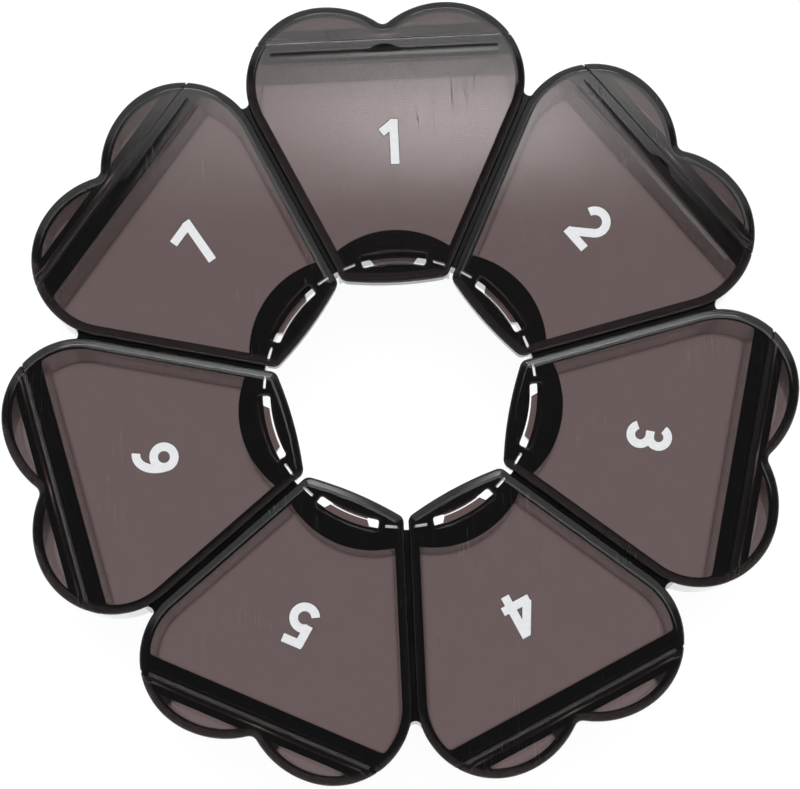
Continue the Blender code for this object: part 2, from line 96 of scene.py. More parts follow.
FLOOR_SHADE = 0.14
LAMP_SIZE = (0.9, 0.7)
LAMP_DISTANCE = 1.2
LAMP_LEAN = math.radians(28)
CEILING_LIGHT = 0.14
NEAR_LIGHT = 1.9
FAR_LIGHT = 0.7
PEAK_LIGHT = 6.5
SPOT_LIGHT = 3.5


def length(label, default, about):
    """Property for a length in metres."""
    kind = {"unit": "LENGTH", "subtype": "DISTANCE", "precision": 5}
    return FloatProperty(name=label, description=about, default=default, **kind)


def from_centre(label, default, what):
    """Property for a distance from the ring's centre."""
    return length(label, default, "Distance from the ring's centre to " + what)


def share(label, default, about):
    """Property for a number from 0 to 1."""
    return FloatProperty(name=label, description=about, default=default, min=0.0, max=1.0, subtype="FACTOR")


def turn(label, degrees, about):
    """Property for an angle, given in degrees."""
    angle = math.radians(degrees)
    return FloatProperty(name=label, description=about, default=angle, subtype="ANGLE", unit="ROTATION")


def colour(label, default, about):
    """Property for a linear colour."""
    kind = {"size": 3, "min": 0.0, "max": 1.0, "subtype": "COLOR"}
    return FloatVectorProperty(name=label, description=about, default=default, **kind)


class HeartSizes(bpy.types.PropertyGroup):
    """Plan of one heart and the heights that all pieces share."""

    top: length("Top", 0.02217, "Height of the lids' upper face, with room above it for the print")
    plate: length("Plate", 0.00157, "Thickness of lids and covers")
    gap: length("Gap", 0.0008, "Gap between one heart and the next")
    half_width: length("Half width", 0.02393, "Half the greatest width of a heart")
    shoulder: length("Shoulder radius", 0.0133, "Radius where a straight side turns into the lobe")
    crown: length("Crown radius", 0.0158, "Radius over the top of a lobe")
    crown_lean: turn("Crown lean", 9.3, "Angle between the heart's middle and the end of the crown's arc")
    cleft: length("Cleft radius", 0.0015, "Radius in the notch between the lobes")
    lip: from_centre("Lip distance", 0.0188, "the lid's lip")
    lip_radius: length("Lip radius", 0.063, "Radius of the lip's edge in plan")
    lip_corner: length("Lip corner", 0.0015, "Radius of the lip's corners")
    hinge: from_centre("Hinge distance", 0.060853, "the crease")
    fine: IntProperty(name="Fineness", description="Straight pieces in a long arc", default=36, min=8)


class CupSizes(bpy.types.PropertyGroup):
    """Walls, floors and webs of the cups."""

    rim: length("Rim", 0.0203, "Height of the cup's rim")
    rim_round: length("Rim rounding", 0.00018, "Radius of the rim's edges")
    setback: length("Setback", 0.0001, "Distance from a lid's edge to the wall's outer face")
    wall: length("Wall", 0.0016, "Thickness of a wall")
    draft: length("Draft", 0.0003, "How far a wall leans over its height")
    floor: length("Floor", 0.0012, "Thickness of the floor of the pill room")
    lobe_floor: length("Lobe floor", 0.0010, "Thickness of the floor of a lobe")
    floor_edge: length("Floor edge", 0.0008, "Radius between floor and walls")
    rear_wall: from_centre("Rear wall", 0.0576, "the rear wall's inner face")
    rear_corner: length("Rear corner", 0.0009, "Radius of the room's rear corners")
    lobe_wall: from_centre("Lobe wall", 0.0632, "the lobes' front face")
    front_radius: length("Front wall radius", 0.0158, "Radius of the curved front wall")
    front_centre: from_centre("Front wall centre", 0.01173, "the front wall's centre")
    hole: length("Hole radius", 0.0234, "Radius of the ring's hole")
    deck: length("Deck", 0.008, "Depth of the solid decks before and behind the pill room")
    ledge_reach: length("Ledge reach", 0.0010, "How far the catch ledge stands out into the hole")
    ledge: length("Ledge thickness", 0.003, "Thickness of the catch ledge")
    ledge_half: length("Ledge half length", 0.0034, "Half the length of the ledge's tip")
    ledge_chamfer: length("Ledge chamfer", 0.0009, "Chamfer at the ledge's ends")
    web_drop: length("Web drop", 0.0005, "Depth of a web's top below the rim")
    web: length("Web depth", 0.006, "Depth of a web")
    web_foot: length("Web foot lift", 0.0006, "Height of the web posts' feet above the table")
    web_end: from_centre("Web end", 0.0559, "a web's outer end")
    post: length("Post length", 0.0026, "Length of the post under each end of a web")
    post_setback: length("Post setback", 0.0014, "Distance from the ring's hole to the inner post")


class LidSizes(bpy.types.PropertyGroup):
    """Rim, slot, slits, catch and crease of the lids and covers."""

    edge_width: length("Edge width", 0.0013, "Width of the sloping edge")
    edge_depth: length("Edge depth", 0.00085, "Depth of the sloping edge")
    crease_gap: length("Crease gap", 0.0003, "Gap that the hinge film crosses")
    crease_film: length("Crease film", 0.00045, "Thickness that is left over the crease")
    groove: length("Groove depth", 0.00005, "Depth of the V-shaped groove along the crease")
    sink_setback: length("Sink setback", 0.0029, "Distance from the crease to the sink line")
    sink_half: length("Sink half width", 0.0013, "Half the width of the sink line")
    sink_depth: length("Sink depth", 0.000016, "Depth of the sink line")
    slot_arc: length("Slot arc", 0.02309, "Radius of the arc that slot and slits lie on")
    slot_width: length("Slot width", 0.0020, "Width of the slot")
    slot_half: length("Slot half length", 0.0056, "Half the length of the slot")
    slot_corner: length("Slot corner", 0.0005, "Radius of the slot's corners")
    slot_step: length("Slot step", 0.00022, "Width of the sunk step round the slot")
    slot_step_depth: length("Slot step depth", 0.0003, "Depth of that step")
    slit_width: length("Slit width", 0.00042, "Width of a slit")
    slit_start: length("Slit start", 0.0068, "Distance along the arc from the middle to a slit's near end")
    slit_end: length("Slit end", 0.0088, "Distance along the arc from the middle to a slit's far end")
    gate_length: length("Gate length", 0.0063, "Length of the moulding gate's lens")
    gate_width: length("Gate width", 0.00145, "Width of the lens")
    gate_depth: length("Gate depth", 0.00006, "Depth of the lens at its straight edge")
    gate_setback: length("Gate setback", 0.0022, "Distance from the crease to the lens's straight edge")
    catch_radius: length("Catch radius", 0.0217, "Radius of the catch's outer face")
    bead_reach: length("Bead reach", 0.0003, "How far the catch's bead stands out")
    bead_top: length("Bead top", 0.0170, "Height of the bead's top")
    bead_height: length("Bead height", 0.0006, "Height of the bead")
    bead_half: length("Bead half length", 0.0032, "Half the length of the bead")
    block_depth: length("Block depth", 0.0045, "Depth of the thick lip under the plate")
    block_setback: length("Block setback", 0.0002, "Distance from the lid's edge to the thick lip")
    block_gap: length("Block gap", 0.0003, "Gap between the thick lip and the cup's front deck")
    block_seat: length("Block seat", 0.00002, "Gap between the plate and the thick lip")
    flange: length("Flange", 0.0001, "Thickness of the flange that runs round under the lid's edge")
    flange_inset: length("Flange inset", 0.0001, "Distance from the thick lip's sides to the flange's")
    flange_reach: length("Flange reach", 0.0004, "How far the flange reaches past the cup's front wall")
    flange_end: length("Flange end", 0.0010, "Distance from the crease to the flange's rear end")
    bay_margin: length("Bay margin", 0.0008, "How far the bay for the ledge reaches past the slot")


class NumberSizes(bpy.types.PropertyGroup):
    """Printed numbers, one on each lid."""

    height: length("Height", 0.0078, "Height of a number")
    place: from_centre("Place", 0.0430, "a number's middle")
    stroke: share("Stroke", 0.19, "Width of a stroke as a share of the height")
    edge: length("Edge", 0.00012, "Width of the dark edge round a number")
    print: length("Print", 0.00001, "Thickness of each layer of print")


class PlasticLook(bpy.types.PropertyGroup):
    """Colours and surface of the plastic and the print."""

    absorption: colour("Absorption", (0.155, 0.0153, 0.0118), "Colour that passes through the plastic")
    density: FloatProperty(name="Density", description="How fast light is taken up", default=850.0, min=0.0)
    ior: FloatProperty(name="Refraction", description="Index of refraction", default=1.5, min=1.0, max=2.0)
    roughness: share("Roughness", 0.03, "Roughness of the moulded faces")
    scratch: share("Scratches", 0.25, "Roughness that scratches add")
    # Black of the thick lips, and of the webs, where it is also painted shade of the narrow channels between
    # hearts
    solid: colour("Thick plastic", (0.006, 0.0055, 0.006), "Colour of plastic too thick to see through")
    ink: colour("Ink", (0.90, 0.91, 0.93), "Colour of the print")
    # Colour of the dark band laid round each number, under the white print
    dark_band_tone: colour("Ink edge", (0.05, 0.045, 0.045), "Colour round the print")


class StageSizes(bpy.types.PropertyGroup):
    """Camera, floor and light."""

    lens: FloatProperty(name="Lens", description="Focal length in mm", default=198.0, min=1.0)
    distance: length("Distance", 0.748, "Distance from the camera to what it looks at")
    tilt: turn("Tilt", 5.85, "Angle between the view and the vertical")
    heading: turn("Heading", 2.66, "Angle between the picture's up and the first heart")
    shift: length("Look shift", 0.0005, "How far before the ring's centre the camera looks")
    floor: length("Floor", 3.0, "Side of the floor")
    lamp: FloatProperty(name="Lamp", description="Power of the lamp in watts", default=3.0, min=0.0)


SETTINGS = {
    "pill_heart": HeartSizes,
    "pill_cup": CupSizes,
    "pill_lid": LidSizes,
    "pill_number": NumberSizes,
    "pill_look": PlasticLook,
    "pill_stage": StageSizes,
}


def settings(name):
    """One of the scene's groups of sizes."""
    return getattr(bpy.context.scene, name)


# Plan outlines: points are (across, out), and an outline has its shape on its left


def arc(centre, radius, start, end, steps):
    """Points centre + radius * (cos a, sin a) for even steps of the angle a."""
    angle = np.linspace(start, end, steps + 1)
    return np.column_stack((centre[0] + radius * np.cos(angle), centre[1] + radius * np.sin(angle)))


def ring_arc(radius, start, end, steps):
    """Arc round the ring's centre."""
    return arc(RING_CENTRE, radius, start, end, steps)


def mirrored(points):
    """The points with across turned round, in the order that keeps the shape on the left."""
    return points[::-1] * (-1, 1)


def whole(*parts):
    """The parts of a right half followed by their mirror image, without the middle line's points twice."""
    right_half = np.concatenate(parts)
    left = mirrored(right_half)
    return np.concatenate((right_half, left[np.abs(left[:, 0]) > SAME_POINT]))


def direction(centre, point):
    """Angle at which a point is seen from a centre."""
    return math.atan2(point[1] - centre[1], point[0] - centre[0])


def beside_gap(along, offset):
    """Plan point at a distance along the plane between two hearts and an offset from it."""
    across = along * math.sin(HALF_ANGLE) - offset * math.cos(HALF_ANGLE)
    out = along * math.cos(HALF_ANGLE) + offset * math.sin(HALF_ANGLE)
    return (across, out)


def side_meets_circle(offset, centre, radius, side):
    """Where the line at an offset from the gap's plane meets a circle, on its near (-1) or far (1) side."""
    along_centre = centre[0] * math.sin(HALF_ANGLE) + centre[1] * math.cos(HALF_ANGLE)
    offset_centre = centre[1] * math.sin(HALF_ANGLE) - centre[0] * math.cos(HALF_ANGLE)
    reach = math.sqrt(radius**2 - (offset - offset_centre) ** 2)
    return beside_gap(along_centre + side * reach, offset)


def bent(points, radius):
    """Bends flat (length, offset) points round the ring's centre: the angle is length / radius."""
    angle = points[:, 0] / radius
    reach = radius + points[:, 1]
    return np.column_stack((reach * np.sin(angle), reach * np.cos(angle)))


def rounded_bar(start, end, half_width, corner):
    """Rectangle from one length to another with a quarter circle at each corner."""
    near, far, side = start + corner, end - corner, half_width - corner
    centres = ((far, -side), (far, side), (near, side), (near, -side))
    turns = [(k - 1) * UPRIGHT for k in range(len(centres) + 1)]
    corners = [arc(c, corner, turns[k], turns[k + 1], CORNER_STEPS) for k, c in enumerate(centres)]
    return np.concatenate(corners)


class Heart:
    """Outlines of one heart and what lies inside it, from the sizes in the sidebar."""

    def __init__(self):
        self.heart, self.cup, self.lid = settings("pill_heart"), settings("pill_cup"), settings("pill_lid")
        h = self.heart
        self.half_gap = h.gap / 2
        self.inside_wall = self.cup.setback + self.cup.wall
        across = h.half_width - h.shoulder
        out = (h.shoulder + self.half_gap + across * math.cos(HALF_ANGLE)) / math.sin(HALF_ANGLE)
        self.shoulder_centre = (across, out)
        step = h.crown - h.shoulder
        self.crown_centre = (across - step * math.sin(h.crown_lean), out - step * math.cos(h.crown_lean))
        reach = math.sqrt((h.crown + h.cleft) ** 2 - self.crown_centre[0] ** 2)
        self.cleft_centre = (0, self.crown_centre[1] + reach)
        self.crown_start = UPRIGHT - h.crown_lean
        self.crown_end = math.atan2(reach, -self.crown_centre[0])
        self.lip_centre = (0, h.lip + h.lip_radius)
        self.front_centre = (0, self.cup.front_centre)
        self.long, self.middle, self.short = h.fine, h.fine * 2 // 3, h.fine // 3

    def shoulder(self, inset, start, end, steps):
        """Arc of the shoulder drawn in by an inset."""
        return arc(self.shoulder_centre, self.heart.shoulder - inset, start, end, steps)

    def shoulder_angle(self, inset, out):
        """Angle at which that arc reaches a distance out."""
        return math.asin((out - self.shoulder_centre[1]) / (self.heart.shoulder - inset))

    def side_angle(self, inset, centre, radius):
        """Angle at which a circle meets the straight side drawn in by an inset, at its outer crossing."""
        return direction(centre, side_meets_circle(self.half_gap + inset, centre, radius, 1))

    def lobe_tip(self, inset):
        """Crown's arc and half the cleft's, drawn in by an inset: one radius shrinks, the other grows."""
        h = self.heart
        crown = arc(self.crown_centre, h.crown - inset, self.crown_start, self.crown_end, self.middle)
        cleft_start = self.crown_end - math.pi
        cleft = arc(self.cleft_centre, h.cleft + inset, cleft_start, -UPRIGHT, self.short // 2)
        return np.concatenate((crown[1:], cleft[1:]))

    def lip(self, inset):
        """Right half of the lip: its long arc, then the corner's arc up to the straight side."""
        h = self.heart
        corner = max(h.lip_corner - inset, h.lip_corner / 10)
        reach = h.lip_radius - inset - corner
        centre = side_meets_circle(self.half_gap + inset + corner, self.lip_centre, reach, -1)
        end = direction(self.lip_centre, centre)
        long_arc = arc(self.lip_centre, h.lip_radius - inset, -UPRIGHT, end, self.short)
        return np.concatenate((long_arc, arc(centre, corner, end, -HALF_ANGLE, self.short // 2)[1:]))

    def lid_outline(self, inset, past_crease=None):
        """Lip, straight sides and shoulders, and a straight rear edge a little past the crease."""
        if past_crease is None:
            past_crease = self.heart.plate
        rear = self.shoulder_angle(inset, self.heart.hinge + past_crease)
        return whole(self.lip(inset), self.shoulder(inset, -HALF_ANGLE, rear, self.middle))

    def cover_outline(self, inset):
        """Straight front edge a little before the crease, then shoulders, crowns and the cleft."""
        front = self.shoulder_angle(inset, self.heart.hinge - self.heart.plate)
        return whole(self.shoulder(inset, front, self.crown_start, self.short), self.lobe_tip(inset))

    def cup_outline(self, inset):
        """Whole heart inside its lid's edge, cut off in front by the ring's hole."""
        side, hole = self.cup.setback + inset, self.cup.hole + inset
        front = ring_arc(hole, UPRIGHT, self.side_angle(side, RING_CENTRE, hole), self.short)
        sides = self.shoulder(side, -HALF_ANGLE, self.crown_start, self.long)
        return whole(front, sides, self.lobe_tip(side))

    def room_outline(self, inset, front_inset=0.0):
        """Pill room: curved front wall, straight sides, shoulders, and rounded rear corners."""
        cup = self.cup
        side, radius = self.inside_wall + inset, cup.front_radius + inset + front_inset
        fillet_out = cup.rear_wall - inset - cup.rear_corner
        reach = self.heart.shoulder - side - cup.rear_corner
        across = self.shoulder_centre[0] + math.sqrt(reach**2 - (fillet_out - self.shoulder_centre[1]) ** 2)
        swing = direction(self.shoulder_centre, (across, fillet_out))
        front_end = self.side_angle(side, self.front_centre, radius)
        front = arc(self.front_centre, radius, UPRIGHT, front_end, self.middle)
        sides = self.shoulder(side, -HALF_ANGLE, swing, self.short)
        fillet = arc((across, fillet_out), cup.rear_corner, swing, UPRIGHT, self.short // 2)
        return whole(front, sides, fillet[1:])

    def lobe_outline(self, inset):
        """Hollow of the right lobe: straight front face, shoulder's arc and crown's arc."""
        side, front = self.inside_wall + inset, self.cup.lobe_wall + inset
        radius = self.heart.crown - side
        end = math.pi - math.asin((front - self.crown_centre[1]) / radius)
        rest = self.shoulder(side, self.shoulder_angle(side, front), self.crown_start, self.short)
        return np.concatenate((rest, arc(self.crown_centre, radius, self.crown_start, end, self.middle)[1:]))

    def rear_core_outline(self):
        """Space under the rear deck, between the pill room's rear wall and the lobes' front wall."""
        cup = self.cup
        side = self.inside_wall + cup.draft
        start = self.shoulder_angle(side, cup.rear_wall + cup.wall)
        end = self.shoulder_angle(side, cup.lobe_wall - cup.wall)
        return whole(self.shoulder(side, start, end, self.short))

    def front_core_outline(self):
        """Space under the front deck, open to the ring's hole."""
        cup = self.cup
        side = self.inside_wall + cup.draft
        hole, face = cup.hole - cup.draft, cup.front_radius - cup.wall
        near = self.side_angle(side, RING_CENTRE, hole)
        far = self.side_angle(side, self.front_centre, face)
        face_arc = arc(self.front_centre, face, far, UPRIGHT, self.short)
        return whole(ring_arc(hole, UPRIGHT, near, self.short), face_arc)

    def ledge_outline(self, root):
        """Catch ledge: a bar bent round the ring's centre with chamfered ends."""
        cup = self.cup
        tip = cup.hole - cup.ledge_reach
        tip_turn, root_turn = cup.ledge_half / tip, (cup.ledge_half + cup.ledge_chamfer) / cup.hole
        tip_arc = ring_arc(tip, UPRIGHT + tip_turn, UPRIGHT - tip_turn, self.short)
        root_arc = ring_arc(root, UPRIGHT - root_turn, UPRIGHT + root_turn, self.short)
        return np.concatenate((tip_arc, root_arc))

    def crease_half(self):
        """Half the crease's length: it ends where the sloping edge begins."""
        reach = self.shoulder_angle(self.lid.edge_width, self.heart.hinge)
        return self.shoulder_centre[0] + (self.heart.shoulder - self.lid.edge_width) * math.cos(reach)

    def web_outline(self, root):
        """Web across the gap, rooted in both walls, with a hollow arc at its outer end."""
        cup, h = self.cup, self.heart
        across, out = self.shoulder_centre
        along_shoulder = across * math.sin(HALF_ANGLE) + out * math.cos(HALF_ANGLE)
        offset_shoulder = h.shoulder + self.half_gap
        slack = h.shoulder - cup.setback - cup.web_end
        between = offset_shoulder**2 + along_shoulder**2 - slack**2
        along_centre = between / (2 * (slack + along_shoulder))
        radius = along_centre - cup.web_end
        towards_wall = math.atan2(offset_shoulder, along_shoulder - along_centre)
        end = arc((along_centre, 0), radius, 2 * math.pi - towards_wall, towards_wall, self.middle)
        depth = radius + root
        corner = (along_centre + depth * math.cos(towards_wall), depth * math.sin(towards_wall))
        inner = (cup.hole, self.half_gap + cup.setback + root)
        half = np.array((corner, inner))
        outline = np.concatenate((half[::-1] * (1, -1), end, half))
        return np.column_stack(beside_gap(outline[:, 0], outline[:, 1]))

    def web_space_outline(self, near, far):
        """Box across a web between two distances along the gap."""
        side = self.half_gap + self.cup.setback + 2 * self.cup.wall
        corners = np.array(((near, -side), (far, -side), (far, side), (near, side)))
        return np.column_stack(beside_gap(corners[:, 0], corners[:, 1]))

    def block_outline(self, inset):
        """Thick lip under the plate: as wide as the lid, with a bay behind it for the catch ledge."""
        lid, cup = self.lid, self.cup
        side = lid.block_setback + inset
        far = cup.hole - lid.block_gap - inset
        bay = (lid.slot_half + lid.bay_margin + inset) / lid.slot_arc
        back = ring_arc(far, self.side_angle(side, RING_CENTRE, far), UPRIGHT - bay, self.short // 2)
        near = ring_arc(lid.catch_radius - inset, UPRIGHT - bay, UPRIGHT, self.short)
        return whole(self.lip(side), back, near)

    def slot_outline(self, grow):
        """Slot through the lip: a rounded bar bent along the slot's arc, grown on all sides."""
        lid = self.lid
        half = lid.slot_half + grow
        bar = rounded_bar(-half, half, lid.slot_width / 2 + grow, lid.slot_corner + grow)
        straight = np.linspace(0, 1, self.middle)[1:-1, None]
        pieces = []
        for start, end in zip(bar, np.roll(bar, -1, axis=0)):
            pieces.append(start[None])
            if abs(end[0] - start[0]) > half:
                pieces.append(start + (end - start) * straight)
        return bent(np.concatenate(pieces), lid.slot_arc)

    def slit_outline(self, grow):
        """Right slit: a narrow rounded bar on the same arc."""
        lid = self.lid
        half = lid.slit_width / 2 + grow
        bar = rounded_bar(lid.slit_start - grow, lid.slit_end + grow, half, half / 2)
        return bent(bar, lid.slot_arc)

    def bead_outline(self):
        """Bead of the catch: a bar bent round the ring's centre, rooted in the thick lip."""
        lid = self.lid
        root, tip = lid.catch_radius - lid.bead_reach, lid.catch_radius + lid.bead_reach
        low, high = UPRIGHT - lid.bead_half / lid.catch_radius, UPRIGHT + lid.bead_half / lid.catch_radius
        return np.concatenate((ring_arc(root, high, low, self.short), ring_arc(tip, low, high, self.short)))

    def gate_outline(self):
        """Lens with a straight front edge and an arched rear edge."""
        lid = self.lid
        half = lid.gate_length / 2
        radius = (half**2 + lid.gate_width**2) / (2 * lid.gate_width)
        centre = (0, self.heart.hinge - lid.gate_setback + lid.gate_width - radius)
        swing = math.asin(half / radius)
        return arc(centre, radius, UPRIGHT - swing, UPRIGHT + swing, self.middle)


# Shells: rings of equally many points, one above the other, joined by faces


def ring(outline, height):
    """Outline at a height, which is one number or one for each point."""
    return np.column_stack((outline, np.broadcast_to(height, len(outline))))


def linked(name, data):
    """New object with a mesh, camera or light, in the scene."""
    piece = bpy.data.objects.new(name, data)
    bpy.context.scene.collection.objects.link(piece)
    return piece


def shell(name, rings):
    """Closed surface: point j of ring i joins point j + 1 and ring i + 1, and a face closes each end."""
    grid = np.array(rings)
    rows, points, _ = grid.shape
    index = np.arange(rows * points).reshape(rows, points)
    here, above = index[:-1], index[1:]
    quads = np.stack((here, np.roll(here, -1, 1), np.roll(above, -1, 1), above), -1).reshape(-1, 4)
    mesh = bpy.data.meshes.new(name)
    mesh.from_pydata(grid.reshape(-1, 3), [], quads.tolist() + [index[0][::-1].tolist(), index[-1].tolist()])
    mesh.shade_smooth()
    return linked(name, mesh)


def prism(name, outline, low, high):
    """Straight solid over an outline, from one height to another."""
    return shell(name, [ring(outline, low), ring(outline, high)])


def carried(name, section, half_length, steps=1):
    """Section of (out, height) points carried along the crease: (x, y, z) = (s, out, height)."""
    sides = np.linspace(-half_length, half_length, steps + 1)
    return shell(name, [np.column_stack((np.full(len(section), side), section)) for side in sides])


def quarter(radius, steps=3):
    """Quarter circle as (inset, drop) pairs: (r (1 - cos a), r (1 - sin a)) for a up to a right angle."""
    angle = np.linspace(0, UPRIGHT, steps + 1)
    return np.column_stack((radius * (1 - np.cos(angle)), radius * (1 - np.sin(angle))))


def plate_rings(outline):
    """Rings of a plate: a small round at its lower edge, a side, and the sloping upper edge."""
    heart, cup, lid = settings("pill_heart"), settings("pill_cup"), settings("pill_lid")
    underside = heart.top - heart.plate
    lower = quarter(cup.rim_round)[::-1] * (1, -1) + (0, cup.rim_round)
    rings = [ring(outline(inset), underside + rise) for inset, rise in lower]
    upper = np.array(EDGE_SHAPE) * (lid.edge_width, lid.edge_depth)
    return rings + [ring(outline(inset), heart.top - drop) for inset, drop in upper]


def hollow_rings(outline, floor, edge, top):
    """Rings of a hollow's cutter: rounded floor edge, drafted wall, and a flare that rounds the rim."""
    cup = settings("pill_cup")
    rings = [ring(outline(cup.draft + inset), floor + drop) for inset, drop in quarter(edge, 4)[::-1]]
    low, high = floor + edge, top - cup.rim_round
    rings += [ring(outline(cup.draft * (1 - part)), low + (high - low) * part) for part in STEADY]
    rings += [ring(outline(-inset), top - drop) for inset, drop in quarter(cup.rim_round)]
    return rings + [ring(outline(-cup.rim_round), top + cup.draft)]


def trough(name, half_width, depth, half_length, out, top):
    """Cutter for a shallow valley: its section is z = top - depth (1 - (y / half width)^2)."""
    part = np.linspace(-1, 1, SINK_POINTS)
    low = np.column_stack((out + half_width * part, top - depth * (1 - part**2)))
    return carried(name, np.concatenate((low, low[[-1, 0]] + (0, half_width))), half_length)


def combined(body, operation, others):
    """Body with other solids joined to it or cut from it; the others are removed."""
    for other in others:
        modifier = body.modifiers.new(other.name, "BOOLEAN")
        modifier.operation = operation
        modifier.solver = "EXACT"
        modifier.object = other
    bpy.context.view_layer.update()
    depsgraph = bpy.context.evaluated_depsgraph_get()
    result = bpy.data.meshes.new_from_object(body.evaluated_get(depsgraph))
    body.modifiers.clear()
    body.data = result
    for other in others:
        bpy.data.objects.remove(other)
    return body


def both(name, outline_of, rings_of):
    """The same solid on the right and on the left of the heart's middle."""
    return [
        shell("right_" + name, rings_of(outline_of)),
        shell("left_" + name, rings_of(lambda inset: mirrored(outline_of(inset)))),
    ]


def finished(piece):
    """Mesh of a shape at the first heart, smooth but for real edges and level faces; its object goes."""
    mesh = piece.data
    mesh.shade_smooth()
    mesh.set_sharp_from_angle(angle=SMOOTH_ANGLE)
    normals, corners = np.empty(len(mesh.polygons) * 3), np.empty(len(mesh.polygons), int)
    mesh.polygons.foreach_get("normal", normals)
    mesh.polygons.foreach_get("loop_total", corners)
    level = (np.abs(normals[2::3]) > LEVEL_NORMAL) & (corners > 4)
    mesh.polygons.foreach_set("use_smooth", ~level)
    places = np.empty(len(mesh.vertices) * 3, np.float32)
    mesh.vertices.foreach_get("co", places)
    mesh.attributes.new(PETAL, "FLOAT_VECTOR", "POINT").data.foreach_set("vector", places)
    bpy.data.objects.remove(piece)
    return mesh


def day_turn(index):
    """Turn from the first heart to another."""
    return Matrix.Rotation(-index * DAY_ANGLE, 4, "Z")


def add_piece(name, mesh, material, index):
    """Piece from a mesh made at the first heart, which is turned to another heart."""
    mesh.name = name
    mesh.transform(day_turn(index))
    mesh.materials.clear()
    mesh.materials.append(material)
    return linked(name, mesh)


def add_to_days(shape, kind, material, body_of, stands_for=None):
    """One copy of a shape at each heart; body_of and stands_for give names from the day's."""
    for index, day in enumerate(DAYS):
        piece = add_piece(f"{day}_{kind}", shape.copy(), material, index)
        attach(piece, body_of(day))
        if stands_for:
            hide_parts(stands_for(day))


# Materials


class Signal:
    """A node's output that arithmetic works on: each operator adds one Math node."""

    def __init__(self, nodes, socket):
        self.nodes, self.socket = nodes, socket

    def math(self, operation, first, second=0.0):
        """New Math node on one or two signals or numbers."""
        return self.nodes.node("ShaderNodeMath", {"operation": operation}, {0: first, 1: second})

    def __add__(self, other):
        return self.math("ADD", self, other)

    __radd__ = __add__

    def __sub__(self, other):
        return self.math("SUBTRACT", self, other)

    def __rsub__(self, other):
        return self.math("SUBTRACT", other, self)

    def __mul__(self, other):
        return self.math("MULTIPLY", self, other)

    __rmul__ = __mul__

    def __truediv__(self, other):
        return self.math("DIVIDE", self, other)

    def __abs__(self):
        return self.math("ABSOLUTE", self)

    def greatest(self, other):
        """The greater of two signals."""
        return self.math("MAXIMUM", self, other)

    def ramp(self, low, high, start=0.0, end=1.0):
        """Smooth step from start at low to end at high."""
        options = {"interpolation_type": "SMOOTHSTEP"}
        values = {"Value": self, "From Min": low, "From Max": high, "To Min": start, "To Max": end}
        return self.nodes.node("ShaderNodeMapRange", options, values)


class Nodes:
    """Adds nodes to one tree."""

    def __init__(self, tree):
        self.tree = tree
        tree.nodes.clear()

    def node(self, kind, options=(), values=(), output=0):
        """New node: its settings first, then a value or link for each socket; gives back one output."""
        new = self.tree.nodes.new(kind)
        for name, value in dict(options).items():
            setattr(new, name, value)
        for name, value in dict(values).items():
            if isinstance(value, Signal):
                self.tree.links.new(value.socket, new.inputs[name])
            else:
                new.inputs[name].default_value = value
        return Signal(self, new.outputs[output])

    def output(self, kind, **shaders):
        """Output node with its shaders."""
        new = self.tree.nodes.new(kind)
        for name, signal in shaders.items():
            self.tree.links.new(signal.socket, new.inputs[name])


def new_material(name):
    """Empty node material and what adds nodes to it."""
    material = bpy.data.materials.new(name)
    material.use_nodes = True
    return material, Nodes(material.node_tree)


def object_place(nodes):
    """Place on the whole object, so that marks differ from heart to heart."""
    return nodes.node("ShaderNodeTexCoord", output="Object")


def noise(nodes, place, scale, detail):
    """Cloudy pattern round the value 0.5, at a scale in clouds per metre."""
    return nodes.node("ShaderNodeTexNoise", {}, {"Vector": place, "Scale": scale, "Detail": detail})


def mottled(nodes, factor, tone, change):
    """Colour that goes from a tone to the same tone times a change, as the factor goes from 0 to 1."""
    values = {"Factor": factor, 6: (*tone, 1), 7: (*(change * c for c in tone), 1)}
    return nodes.node("ShaderNodeMix", {"data_type": "RGBA"}, values, output=2)


def hairlines(nodes, place, swing, fineness, stretch=40, width=0.006):
    """Scratches: a noise drawn out along one direction, and 1 where it crosses its middle value."""
    scale = (fineness, fineness / stretch, fineness / stretch)
    values = {"Vector": place, "Rotation": (0, 0, swing), "Scale": scale}
    drawn = nodes.node("ShaderNodeMapping", {"vector_type": "POINT"}, values)
    return abs(noise(nodes, drawn, scale=1.0, detail=1.0) - 0.5).ramp(0.0, width, 1.0, 0.0)


def smoke_plastic():
    """Clear plastic that takes up light over its depth, with scratches in worn places and faint waves."""
    look = settings("pill_look")
    material, nodes = new_material("smoke_plastic")
    place = object_place(nodes)
    worn = noise(nodes, place, scale=90.0, detail=2.0).ramp(0.52, 0.68)
    scratches = hairlines(nodes, place, 0.6, 900.0).greatest(hairlines(nodes, place, -0.9, 700.0)) * worn
    petal_place = nodes.node("ShaderNodeAttribute", {"attribute_name": PETAL}, output="Vector")
    wave = noise(nodes, petal_place, scale=120.0, detail=1.0)
    height = wave * WAVE_HEIGHT - scratches * SCRATCH_DEPTH
    normal = nodes.node("ShaderNodeBump", {}, {"Strength": 0.5, "Distance": 1.0, "Height": height})
    values = {
        "Base Color": (1, 1, 1, 1),
        "Roughness": look.roughness + scratches * look.scratch,
        "IOR": look.ior,
        "Transmission Weight": 1.0,
        "Normal": normal,
    }
    surface = nodes.node("ShaderNodeBsdfPrincipled", {}, values)
    depth = {"Color": (*look.absorption, 1), "Density": look.density}
    volume = nodes.node("ShaderNodeVolumeAbsorption", {}, depth)
    nodes.output("ShaderNodeOutputMaterial", Surface=surface, Volume=volume)
    return material


